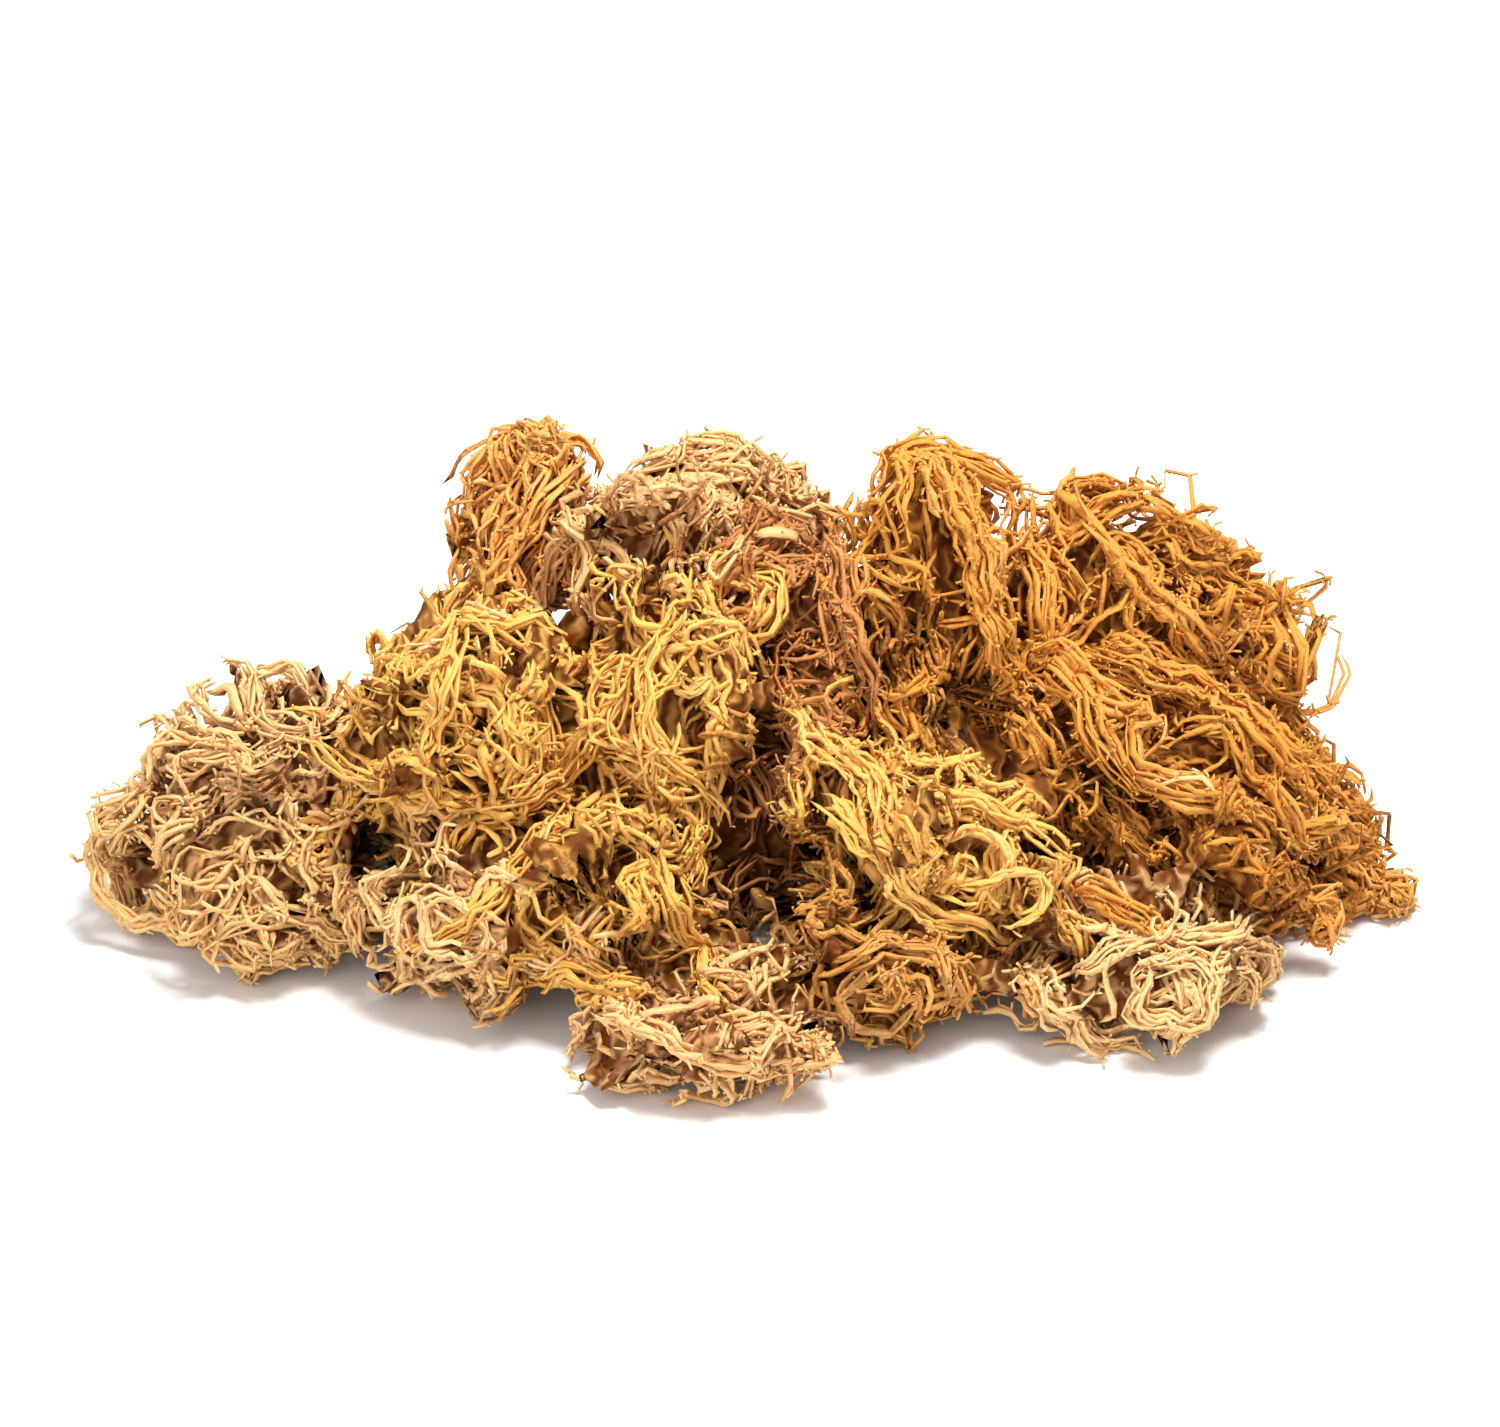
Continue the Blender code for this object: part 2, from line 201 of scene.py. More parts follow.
NUMBER = {tuft.name: number for number, tuft in enumerate(ALL_TUFTS)}


class Ring(NamedTuple):
    """A coil of fronds. Its place is right of the heap's middle and up, as seen from the front."""

    tuft: str
    right: float  # mm
    up: float  # mm
    radius: float  # mm
    turns: float
    strands: int
    width: float  # mm, half of the coil's band
    height: float = 1.5  # mm over the skin


RINGS = (
    # the bowl, ring in ring, and the smaller one at its lower left
    Ring("moss_gold_bowl", -20, 10.5, 6.8, 1.1, 8, 1.1, 2.6),
    Ring("moss_gold_bowl", -20, 10.5, 5.0, 1.1, 6, 0.8, 1.2),
    Ring("moss_gold_bowl", -20, 10.5, 3.2, 1.2, 4, 0.6, -0.6),
    Ring("moss_gold_bowl", -32.5, -1.5, 5.2, 1.1, 7, 0.9, 2.0),
    Ring("moss_gold_bowl", -32.5, -1.5, 3.2, 1.0, 4, 0.5, 0.4),
    # the nub on top of the column
    Ring("moss_gold_column", -0.5, 14, 4.2, 1.3, 9, 1.7, 1.2),
    Ring("moss_gold_column", -2, 12, 2.6, 1.2, 4, 0.7, 2.8),
    Ring("moss_gold_column", -8, 5, 3.0, 1.0, 4, 0.6, 2.2),
    Ring("moss_top_left", -12, 27, 3.4, 1.0, 4, 0.7),
    Ring("moss_top_left", 8, 24, 3.0, 1.1, 4, 0.7),
    Ring("moss_back_spike", -23, 33, 3.0, 1.1, 6, 0.9, 0.6),
    # small loops that stand out at the right edge
    Ring("moss_right_crown", 71, 3.5, 3.4, 1.0, 3, 0.4, 1.5),
    Ring("moss_right_fan", 76, -8, 3.2, 1.0, 3, 0.4, 1.2),
    # the chain of rings on the gold fan
    Ring("moss_gold_fan", 20, -14.5, 3.2, 1.0, 4, 0.4, 2.6),
    Ring("moss_gold_fan", 26, -18, 3.4, 1.0, 4, 0.4, 2.6),
    Ring("moss_gold_fan", 32, -21.5, 3.2, 1.0, 4, 0.4, 2.4),
    Ring("moss_front_nest", 16, -34, 4.0, 1.2, 5, 0.6, 2.0),
    Ring("moss_front_right", 51, -34, 4.2, 1.1, 6, 1.3, 0.8),
    Ring("moss_front_right", 49, -32, 2.2, 1.2, 3, 0.8, 1.8),
    # pale curls at the front left
    Ring("moss_front_left", -43, -22, 3.0, 1.0, 3, 0.4, 2.0),
    Ring("moss_front_left", -36, -26, 3.6, 1.2, 4, 0.5, 2.0),
    Ring("moss_front_left", -30, -23, 2.8, 1.0, 3, 0.4, 2.0),
    Ring("moss_left_shoulder", -58, 1, 4.0, 1.1, 5, 0.7, 1.6),
    Ring("moss_left_shoulder", -66, 1, 3.2, 1.0, 4, 0.6, 1.6),
    # the loop at the left end
    Ring("moss_left_loop", -76.5, -20.5, 5.2, 1.2, 10, 1.0, 1.0),
)


class Ridge(NamedTuple):
    """A long lock that stands out. Its points are right of the heap's middle and up, from the front."""

    tuft: str
    points: tuple  # mm
    strands: int
    width: float  # mm, half of it
    height: float = 2.5  # mm over the skin


RIDGES = (
    # the fold down from the peak, and the ones beside it
    Ridge("moss_peak", ((21, 32), (25, 20), (28, 8), (32, -3)), 14, 2.4, 1.0),
    Ridge("moss_peak", ((23, 30), (27, 18), (30, 7), (34, -3)), 9, 1.8, 0.6),
    Ridge("moss_brown_ridge", ((12, 26), (14, 16), (16, 6), (15, -4)), 9, 1.8, 1.8),
    Ridge("moss_brown_ridge", ((7, 22), (9, 12), (11, 2)), 7, 1.5, 1.2),
    Ridge("moss_peak", ((16, 27), (19, 31), (23, 32), (27, 28), (30, 22)), 16, 2.4, 0.6),
    Ridge("moss_peak", ((19, 26), (21, 30), (24, 30), (26, 24)), 12, 2.0, 0.2),
    # locks that lie over more tufts than one
    Ridge("moss_top_left", ((-20, 24), (-26, 16), (-34, 10), (-42, 2)), 9, 1.6, 1.6),
    Ridge("moss_top_left", ((4, 31), (9, 27), (13, 22)), 8, 1.3, 0.8),
    Ridge("moss_gold_column", ((0, 10), (4, 2), (10, -6), (18, -12)), 9, 1.5, 1.8),
    Ridge("moss_gold_bowl", ((-30, -10), (-40, -10), (-50, -6), (-60, -4)), 9, 1.6, 1.6),
    Ridge("moss_front_middle", ((-16, -10), (-12, -18), (-8, -28), (-2, -38)), 9, 1.6, 1.6),
    Ridge("moss_front_middle", ((-22, -12), (-28, -20), (-36, -26), (-44, -30)), 8, 1.5, 1.4),
    Ridge("moss_right_fan", ((30, -6), (36, -16), (44, -24), (52, -30)), 9, 1.6, 1.6),
    # the combed ridges of the right fan
    Ridge("moss_right_crown", ((31, 21), (38, 14), (37, 6), (43, -4), (52, -10)), 14, 2.4, 1.0),
    Ridge("moss_right_crown", ((42, 22), (50, 14), (60, 6), (68, 0)), 9, 1.8, 1.6),
    Ridge("moss_right_fan", ((36, 6), (44, -2), (54, -9), (66, -15), (74, -18)), 12, 2.2, 3.0),
    Ridge("moss_right_fan", ((43, 9), (52, 2), (62, -6), (72, -13), (79, -17)), 12, 2.2, 2.6),
    Ridge("moss_right_fan", ((34, -1), (41, -9), (50, -15), (60, -20)), 11, 2.2, 2.6),
    Ridge("moss_right_fan", ((52, 8), (60, 1), (68, -6), (75, -12)), 9, 1.8, 2.2),
    # the thin tail of the right end
    Ridge("moss_right_fan", ((66, -12), (74, -16), (82, -20)), 12, 1.8, 1.4),
    # the band that the gold fan's rings hang on
    Ridge("moss_gold_fan", ((9, -11), (14, -16), (21, -22), (28, -26), (34, -27)), 9, 1.4, 2.8),
    Ridge("moss_gold_fan", ((16, -10), (24, -11), (32, -14), (39, -20)), 8, 1.2, 2.2),
    # long strands that hang down the crown
    Ridge("moss_gold_bowl", ((-38, 14), (-34, 8), (-36, 0), (-40, -8)), 8, 1.6, 1.6),
    Ridge("moss_gold_bowl", ((-14, 6), (-18, -2), (-26, -9), (-34, -13)), 10, 2.0, 2.0),
    Ridge("moss_gold_column", ((-10, 14), (-12, 6), (-12, -4), (-10, -12)), 9, 1.6, 2.2),
    Ridge("moss_gold_column", ((-4, 8), (-3, 0), (-4, -9)), 7, 1.3, 2.0),
    Ridge("moss_top_left", ((-14, 29), (-6, 33), (4, 32), (10, 26)), 10, 1.8, 1.2),
    Ridge("moss_back_spike", ((-33, 12), (-30, 21), (-26, 29), (-22, 33), (-19, 32)), 14, 2.2, 0.8),
    Ridge("moss_left_foot", ((-68, -28), (-60, -24), (-52, -26), (-46, -28)), 8, 1.4, 1.6),
    Ridge("moss_front_foot", ((-18, -36), (-8, -40), (2, -42), (10, -40)), 9, 1.5, 1.6),
    Ridge("moss_front_nest", ((8, -30), (16, -28), (24, -31), (30, -36)), 9, 1.4, 1.8),
    Ridge("moss_front_right", ((38, -32), (46, -28), (58, -28), (66, -24)), 9, 1.4, 1.6),
)


class Stipe(NamedTuple):
    """One thick smooth stalk. Its points are right of the heap's middle and up, from the front."""

    tuft: str
    points: tuple  # mm
    radius: float  # mm


STIPES = (
    Stipe("moss_gold_bowl", ((-32, -3.5), (-31, -9), (-28, -13.5)), 0.9),
    Stipe("moss_gold_bowl", ((-36, -6), (-32, -11), (-25, -15)), 0.7),
    Stipe("moss_top_left", ((0, 24), (4, 22), (5.5, 18)), 0.9),
    Stipe("moss_front_nest", ((-1, -21.5), (5, -24), (12, -27.5)), 0.9),
    Stipe("moss_gold_fan", ((10, -11), (13, -17), (19, -22)), 0.9),
    Stipe("moss_front_foot", ((-14, -38), (-8, -35), (0, -37)), 0.7),
    Stipe("moss_right_crown", ((40, 24), (46, 19), (47, 13)), 0.7),
    Stipe("moss_left_shoulder", ((-70, 3), (-64, 0), (-62, -6)), 0.7),
)


class Fold(NamedTuple):
    """A rise or crease of the cover. Its points are right of the heap's middle and up, from the front."""

    points: tuple  # mm
    radius: float  # mm
    height: float  # mm, less than 0 for a crease or a hollow


FOLDS = (
    # the rope down from the peak, and the one beside it
    Fold(((21, 31), (25, 20), (28, 8), (32, -3)), 3.2, 3.6),
    Fold(((31, 21), (38, 14), (37, 6), (43, -4), (52, -10)), 3.2, 3.6),
    # the fan's ridges
    Fold(((47, 6), (58, -3), (70, -13)), 3.0, 2.6),
    Fold(((56, 16), (64, 6), (74, -6)), 3.0, 2.6),
    # the saddle beside the peak, and the top and the shoulder of the right crown
    Fold(((29, 30), (36, 25)), 5.0, 5.0),
    Fold(((42, 27), (52, 29), (60, 27)), 7.0, 5.5),
    Fold(((66, 18), (72, 9)), 7.0, 6.0),
    # the dark ridge
    Fold(((7, 22), (12, 13), (18, 5), (24, 1)), 3.2, 3.2),
    # the crown's swells
    Fold(((-38, 2), (-32, 9), (-20, 13)), 4.5, 2.4),
    Fold(((-1, 17), (-3, 12)), 4.5, 3.0),
    Fold(((-10, 10), (-12, -2), (-10, -12)), 3.5, 2.6),
    Fold(((-14, 28), (-4, 32), (6, 30), (12, 25)), 4.5, 1.8),
    # the creases and hollows: the fronds sink into them, and are painted darker there as painted shade
    Fold(((20, 12), (20, 7)), 4.0, -5.5),
    Fold(((30, 17), (32, 10), (33, 4)), 1.8, -5.5),
    Fold(((26, 1), (30, -3)), 4.2, -8.0),
    Fold(((38, -6), (46, -10), (54, -13)), 2.2, -5.5),
    Fold(((3, 9), (2, 1), (3, -8)), 2.4, -6.5),
    Fold(((8, -19), (12, -22)), 3.6, -7.0),
    Fold(((-14, -29), (-9, -32)), 3.6, -6.0),
    Fold(((-50, -14), (-44, -17)), 3.0, -5.0),
    Fold(((-77, -20.5), (-76, -21)), 2.6, -7.0),
    Fold(((-24, -18), (-18, -17)), 2.4, -4.0),
    Fold(((-20, 10.5), (-20, 10)), 2.2, -4.0),
    Fold(((-14, 18), (-8, 20)), 2.4, -4.0),
    Fold(((34, -26), (38, -30)), 3.0, -5.0),
)


def linear(code):
    """The linear colour of an sRGB hex code."""
    parts = [int(code[i : i + 2], 16) / 255 for i in (0, 2, 4)]
    return [part / 12.92 if part <= 0.04045 else ((part + 0.055) / 1.055) ** 2.4 for part in parts]


def colour(code, name, description="Of a frond's body"):
    """A colour that the user can change."""
    return bpy.props.FloatVectorProperty(
        name=name,
        description=description,
        subtype="COLOR",
        size=3,
        min=0,
        max=1,
        default=linear(code),
    )


class MossColours(bpy.types.PropertyGroup):
    """The fronds' colours"""

    straw: colour("E8B475", "Straw")
    sand: colour("F3C083", "Sand")
    gold: colour("F4B65C", "Gold")
    honey: colour("D6964A", "Honey")
    rose_tan: colour("F4BC7E", "Rose tan")
    orange: colour("F6AE5C", "Orange")
    amber: colour("E29840", "Amber")
    brown: colour("C6844A", "Brown")
    # painted shade, with some real tone: fronds are darkened towards this colour where they lie deep and
    # where they dried darker, and the matted body nearly all over
    deep: colour("703A08", "Deep shade", "Of the fronds that lie deep")
    # painted light, with some real paling: fronds are paled towards this colour where they lie bare and
    # towards their tips
    tip_and_painted_light: colour("FFD8A8", "Bare tips", "Of the fronds that lie bare")


class MossSizes(bpy.types.PropertyGroup):
    """The fronds' sizes"""

    radius: bpy.props.FloatProperty(
        name="Frond radius",
        description="Half a dried frond's thickness",
        default=0.37 * MM,
        unit="LENGTH",
    )
    length: bpy.props.FloatProperty(
        name="Loose length", description="Of a frond outside the locks", default=15 * MM, unit="LENGTH"
    )
    step: bpy.props.FloatProperty(
        name="Step", description="From point to point along a frond", default=1.2 * MM, unit="LENGTH"
    )
    lock_width: bpy.props.FloatProperty(
        name="Lock width",
        description="Half the width of a bundle of fronds",
        default=1.75 * MM,
        unit="LENGTH",
    )
    lock_strands: bpy.props.IntProperty(name="Lock strands", description="Fronds in each lock", default=9)
    spur: bpy.props.FloatProperty(
        name="Spur length", description="Of the short side shoots", default=1.8 * MM, unit="LENGTH"
    )
    spacing: bpy.props.FloatProperty(
        name="Spur spacing",
        description="From spur to spur along a frond",
        default=2.0 * MM,
        unit="LENGTH",
    )
    cover: bpy.props.FloatProperty(
        name="Cover",
        description="Millimetres of frond over each square millimetre of tuft",
        default=2.95,
    )


def tree_of(mesh):
    """A mesh's faces, to find the nearest of them or the one that a ray meets."""
    corners = [vertex.co for vertex in mesh.vertices]
    return BVHTree.FromPolygons(corners, [tuple(face.vertices) for face in mesh.polygons])


def evaluated(source):
    """The mesh of an object with its modifiers, or its sweep, applied."""
    return bpy.data.meshes.new_from_object(source.evaluated_get(bpy.context.evaluated_depsgraph_get()))


def wrapped(name, closing, voxel, smoothing):
    """The tufts' solids joined and remeshed as one surface, over the gaps between them."""
    work = bmesh.new()
    for tuft in ALL_TUFTS:
        work.from_mesh(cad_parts[tuft.name].data)
    bmesh.ops.remove_doubles(work, verts=work.verts, dist=WELD)
    mesh = bpy.data.meshes.new(name)
    work.to_mesh(mesh)
    work.free()
    skin = bpy.data.objects.new(name, mesh)
    bpy.context.scene.collection.objects.link(skin)
    swell = skin.modifiers.new("swell", "DISPLACE")
    swell.strength = closing
    swell.mid_level = 0
    remesh = skin.modifiers.new("remesh", "REMESH")
    remesh.mode = "VOXEL"
    remesh.voxel_size = voxel
    smooth = skin.modifiers.new("smooth", "SMOOTH")
    smooth.factor = 0.5
    smooth.iterations = smoothing
    shrink = skin.modifiers.new("shrink", "DISPLACE")
    shrink.strength = -closing
    shrink.mid_level = 0
    done = evaluated(skin)
    bpy.data.objects.remove(skin)
    return done


class Skin:
    """One closed surface over all the tufts, for the fronds to lie on, and whose each of its faces is."""

    def __init__(self):
        mesh = wrapped("skin", SKIN_CLOSING, SKIN_VOXEL, SKIN_SMOOTHING)
        faces = [tuple(face.vertices) for face in mesh.polygons]
        self.tree = tree_of(mesh)
        outwards = np.array([tuple(vertex.normal) for vertex in mesh.vertices])
        self.normals = [Vector(outwards[list(face)].mean(axis=0)).normalized() for face in faces]
        self.areas = np.array([face.area for face in mesh.polygons])
        self.centres = [face.center.copy() for face in mesh.polygons]
        self.solids = [tree_of(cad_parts[tuft.name].data) for tuft in ALL_TUFTS]
        self.owners = np.array([int(np.argmin(self.distances(centre))) for centre in self.centres])

    def distances(self, place):
        """How far a place is from each tuft's solid."""
        return [solid.find_nearest(place)[3] for solid in self.solids]

    def lay(self, point):
        """The place on the skin nearest a point, and the way out of the skin there."""
        place, _, face, _ = self.tree.find_nearest(point)
        return place, self.normals[face]

    def seen(self, right, up):
        """The place seen this far right of the heap's middle and up, and the way out there."""
        start = MIDDLE + Vector((right, 0, 0)) + PICTURE_UP * up - VIEW
        place, _, _, _ = self.tree.ray_cast(start, VIEW)
        if place is None:
            place, _, _, _ = self.nearest_to_ray(start)
        return self.lay(place)

    def nearest_to_ray(self, start):
        """The skin's place nearest a line of sight that passes it by."""
        tries = (self.tree.find_nearest(start + VIEW * (1 + k * 5 * MM)) for k in range(-12, 13))
        return min(tries, key=lambda found: found[3])


class Strands:
    """The fronds of one tuft: their paths, with each point's radius, and their four attributes."""

    def __init__(self):
        self.paths = []

    def add(self, places, radii, tone, painted_lights, dye, start=0.0):
        """One more frond. Its tone and its dye hold for all of it, and along runs from start to 1."""
        places[-1] = places[-2].lerp(places[-1], BLUNT)
        moved = [i for i in range(1, len(places)) if (places[i] - places[i - 1]).length > CLOSEST]
        kept = [0] + moved
        if len(kept) > 2:
            path = [[values[i] for i in kept] for values in (places, radii, painted_lights)]
            path[1][-1] = 0.0
            self.paths.append((*path, tone, dye, start))

    def mesh(self, name, section):
        """All the fronds swept as tubes, with closed tips, as one mesh with its attributes."""
        data = bpy.data.curves.new(name, "CURVE")
        data.dimensions = "3D"
        data.bevel_mode = "OBJECT"
        data.bevel_object = section
        # the third of these holds each point's painted shade and light, by how deep it lies
        attributes = {"tone": [], "along": [], "depth": [], "dye": []}
        for places, radii, painted_lights, tone, dye, start in self.paths:
            count = len(places)
            spline = data.splines.new("POLY")
            spline.points.add(count - 1)
            spline.points.foreach_set("co", np.column_stack([np.array(places), np.ones(count)]).ravel())
            spline.points.foreach_set("radius", radii)
            attributes["tone"].append(np.full(count, tone))
            attributes["along"].append(np.linspace(start, 1, count))
            attributes["depth"].append(np.array(painted_lights))
            attributes["dye"].append(np.tile((*dye, 1), (count, 1)))
        swept = bpy.data.objects.new(name, data)
        bpy.context.scene.collection.objects.link(swept)
        mesh = evaluated(swept)
        bpy.data.objects.remove(swept)
        for title, values in attributes.items():
            kind, key = ("FLOAT_COLOR", "color") if title == "dye" else ("FLOAT", "value")
            layer = mesh.attributes.new(title, kind, "POINT")
            spread = np.repeat(np.concatenate(values), SECTION_SIDES, axis=0).astype(np.float32)
            layer.data.foreach_set(key, spread.ravel())
        work = bmesh.new()
        work.from_mesh(mesh)
        bmesh.ops.remove_doubles(work, verts=work.verts, dist=WELD)
        bmesh.ops.recalc_face_normals(work, faces=work.faces)
        work.to_mesh(mesh)
        work.free()
        mesh.shade_smooth()
        mesh.name = name
        return mesh


def section_curve():
    """The small polygon that every frond is swept from, of radius 1, so that a point's radius is its own."""
    data = bpy.data.curves.new("frond_section", "CURVE")
    data.dimensions = "2D"
    spline = data.splines.new("POLY")
    spline.points.add(SECTION_SIDES - 1)
    for i, corner in enumerate(spline.points):
        angle = math.tau * i / SECTION_SIDES
        corner.co = (math.cos(angle), math.sin(angle), 0, 1)
    spline.use_cyclic_u = True
    section = bpy.data.objects.new("frond_section", data)
    section.hide_render = True
    return section


def sway(at):
    """A smooth noise in all three directions. Blender's own noise_vector differs from run to run."""
    return Vector([noise.noise(at + offset) for offset in SWAY_OFFSETS])


def whorl_flow(place, outward):
    """The way round the nearest whorl: across the slope of a smooth noise."""
    at = place / WHORL_SIZE
    here = noise.noise(at)
    steps = (Vector((1, 0, 0)), Vector((0, 1, 0)), Vector((0, 0, 1)))
    slope = Vector([noise.noise(at + step * SLOPE_STEP) - here for step in steps])
    return outward.cross(slope / SLOPE_STEP)


class Relief:
    """How far the cover rises or sinks at each place: its clumps, and the folds."""

    def __init__(self):
        self.marks = []
        for fold in FOLDS:
            for (right, up), (next_right, next_up) in zip(fold.points, fold.points[1:]):
                steps = max(1, int(math.hypot(next_right - right, next_up - up) / FOLD_STEP))
                for i in range(steps + 1):
                    share = i / steps
                    across, above = right + (next_right - right) * share, up + (next_up - up) * share
                    place, _ = SKIN.seen(across * MM, above * MM)
                    self.marks.append((place, fold.radius * MM, fold.height * MM))
        self.tree = KDTree(len(self.marks))
        for i, mark in enumerate(self.marks):
            self.tree.insert(mark[0], i)
        self.tree.balance()

    def folds(self, place):
        """How far the folds alone raise the cover, and how far they sink it."""
        rise = sink = 0.0
        for _, i, distance in self.tree.find_range(place, FOLD_REACH):
            _, radius, height = self.marks[i]
            change = height * math.exp(-((distance / radius) ** 2))
            rise, sink = max(rise, change), min(sink, change)
        return rise, sink

    def clumps(self, place):
        """How far the clumps alone raise the cover."""
        at = place / RELIEF_SIZE
        return (noise.noise(at) + 0.35 * noise.noise(at * 2.3 + Vector((7, 0, 0)))) * RELIEF_DEPTH


def inside_box(place):
    """The place moved back into the solids' box, give or take the margin, and over the floor."""
    low, high = CAD_BOX
    for axis in range(3):
        margin = (high[axis] - low[axis]) * BOX_MARGIN
        place[axis] = min(max(place[axis], low[axis] - margin), high[axis] + margin)
    place.z = max(place.z, low[2] + FLOOR_AIR)
    return place


def shade(height):
    """How light the painted shade leaves a frond for its height over the skin, from 0 in the deep to 1."""
    return min(1.0, max(0.0, (height - DARKEST) / (LIGHTEST - DARKEST)))


def frond_radii(count, radius, rng):
    """A frond's radius at each point: knobbly, and thinner at both ends."""
    radii = []
    for i in range(count):
        share = i / (count - 1)
        taper = min(1.0, 0.6 + share * 3, 0.55 + (1 - share) * 1.8)
        radii.append(radius * taper * rng.uniform(0.68, 1.3))
    radii[0] = 0.0
    return radii


class Guide(NamedTuple):
    """The middle line of a lock: its points, the ways out of the skin, and how high it lies in the cover,
    for its painted shade.
    """

    places: list
    outs: list
    heights: list


class Grower:
    """Grows the fronds of one tuft over the skin."""

    def __init__(self, tuft, sizes):
        self.tuft, self.sizes = tuft, sizes
        self.rng = random.Random(tuft.name)
        self.comb = Vector(tuft.comb).normalized()
        self.strands = Strands()
        colours = bpy.context.scene.moss_colours
        self.dyes = [tuple(getattr(colours, each.finish)) for each in ALL_TUFTS]

    def dye(self, place):
        """The colour of a frond at a place: its tuft's, or near another tuft sometimes that one's."""
        weights = [math.exp(-((distance / BLEND) ** 2)) + 1e-9 for distance in SKIN.distances(place)]
        return self.rng.choices(self.dyes, weights=weights)[0]

    def heading(self, place, outward):
        """The way the fronds run at a place."""
        way = self.comb * (1 - self.tuft.swirl) + whorl_flow(place, outward) * self.tuft.swirl * WHORL_PULL
        way -= outward * way.dot(outward)
        return way.normalized() if way.length > 1e-4 else outward.orthogonal()

    def walk(self, place, length, height, lift=0.0, follow=FOLLOW, curl=None):
        """A guide over the skin from a place on it, at a height over it, whose end is lifted."""
        rng = self.rng
        steps = max(6, int(length / self.sizes.step))
        place, outward = SKIN.lay(place)
        way = Quaternion(outward, rng.gauss(0, START_TURN)) @ self.heading(place, outward)
        turn = rng.gauss(0, self.tuft.curl) if curl is None else curl
        own = rng.uniform(0, 900)
        guide = Guide([], [], [])
        for i in range(steps):
            share = i / (steps - 1)
            lifted = lift * max(0.0, share - LIFT_START) / LIFT_SPAN
            rise = lifted - ROOT_SINK * max(0.0, 1 - i / ROOT_STEPS)
            swell, sink = RELIEF.folds(place)
            over = height + RELIEF.clumps(place) + rise + sink
            guide.places.append(place + outward * (over + swell))
            guide.outs.append(outward)
            guide.heights.append(over)
            flow = self.heading(place, outward)
            if way.dot(flow) > AGAINST:
                way = (way * (1 - follow) + flow * follow).normalized()
            way = Quaternion(outward, turn + noise.noise(Vector((i * WAVE_RATE, own, 5))) * WANDER) @ way
            place, onward = SKIN.lay(place + way * self.sizes.step)
            outward = (outward * 0.5 + onward * 0.5).normalized()
            way = (way - outward * way.dot(outward)).normalized()
        return guide

    def lock(self, guide, strands, half_width, spurred=1.0, thick=1.0, own_dye=False):
        """A bundle of fronds that lie along a guide, wind round it and wave with each other."""
        rng = self.rng
        count = len(guide.places)
        shared = rng.uniform(0, 900)
        tone = rng.random()
        dye = self.dyes[NUMBER[self.tuft.name]] if own_dye else self.dye(guide.places[count // 2])
        for _ in range(strands):
            own, angle, twist = rng.uniform(0, 900), rng.uniform(0, math.tau), rng.gauss(0, LOCK_TWIST)
            reach = half_width * math.sqrt(rng.random()) if strands > 1 else 0
            first = rng.randrange(0, max(1, count // 5))
            last = count - rng.randrange(0, max(1, count // 4))
            places, painted_lights = [], []
            for i in range(first, last):
                ahead = guide.places[min(i + 1, count - 1)] - guide.places[max(i - 1, 0)]
                side = ahead.cross(guide.outs[i]).normalized()
                turn = angle + twist * i
                rise = reach * LOCK_THICKNESS * math.sin(turn)
                place = guide.places[i] + side * (reach * math.cos(turn)) + guide.outs[i] * rise
                place += sway(Vector((i * WAVE_RATE, own, 0))) * OWN_WAVE
                place += sway(Vector((i * WAVE_RATE, shared, 0))) * SHARED_WAVE
                places.append(inside_box(place))
                # painted shade: the lower a frond lies in the cover, the darker it is painted
                painted_lights.append(shade(guide.heights[i] + rise))
            own_tone = min(1, max(0, tone + rng.gauss(0, TONE_SPREAD)))
            self.frond(places, painted_lights, own_tone, dye, spurred, thick)

    def frond(self, places, painted_lights, tone, dye, spurred, thick=1.0):
        """One frond with its spurs."""
        rng, sizes = self.rng, self.sizes
        radius = sizes.radius * rng.uniform(0.75, 1.3) * thick
        self.strands.add(list(places), frond_radii(len(places), radius, rng), tone, painted_lights, dye)
        spurs = int(len(places) * sizes.step / sizes.spacing * spurred * self.tuft.spurs + rng.random())
        for _ in range(spurs):
            i = rng.randrange(1, len(places) - 1)
            self.spur(places, i, tone, painted_lights[i], dye)

    def spur(self, places, i, tone, depth, dye):
        """A short side shoot of a frond: it leaves at a slant, stands out a little, and bends over."""
        rng = self.rng
        ahead = (places[i + 1] - places[i - 1]).normalized()
        side = Vector([rng.gauss(0, 1) for _ in range(3)])
        side = (side - ahead * side.dot(ahead)).normalized()
        way = (ahead * rng.uniform(0.1, 0.9) + side).normalized()
        bend = Vector([rng.gauss(0, 0.6) for _ in range(3)])
        length = self.sizes.spur * rng.uniform(0.5, 1.5)
        count = 3 if length < self.sizes.spur * 1.1 else 4
        shoot = [places[i]]
        for _ in range(count - 1):
            shoot.append(inside_box(shoot[-1] + way * (length / (count - 1))))
            way = (way + bend).normalized()
        radius = self.sizes.radius * rng.uniform(0.45, 0.7)
        self.strands.add(shoot, [0] + [radius] * (count - 1), tone, [depth] * count, dye, 0.5)

    def matted(self, seeds):
        """Single fronds under the locks."""
        for face in seeds:
            length = self.sizes.length * self.rng.uniform(0.5, 1.5)
            guide = self.walk(SKIN.centres[face], length, -self.rng.uniform(1.2, 3.2) * MM)
            self.lock(guide, 1, 0, 0)

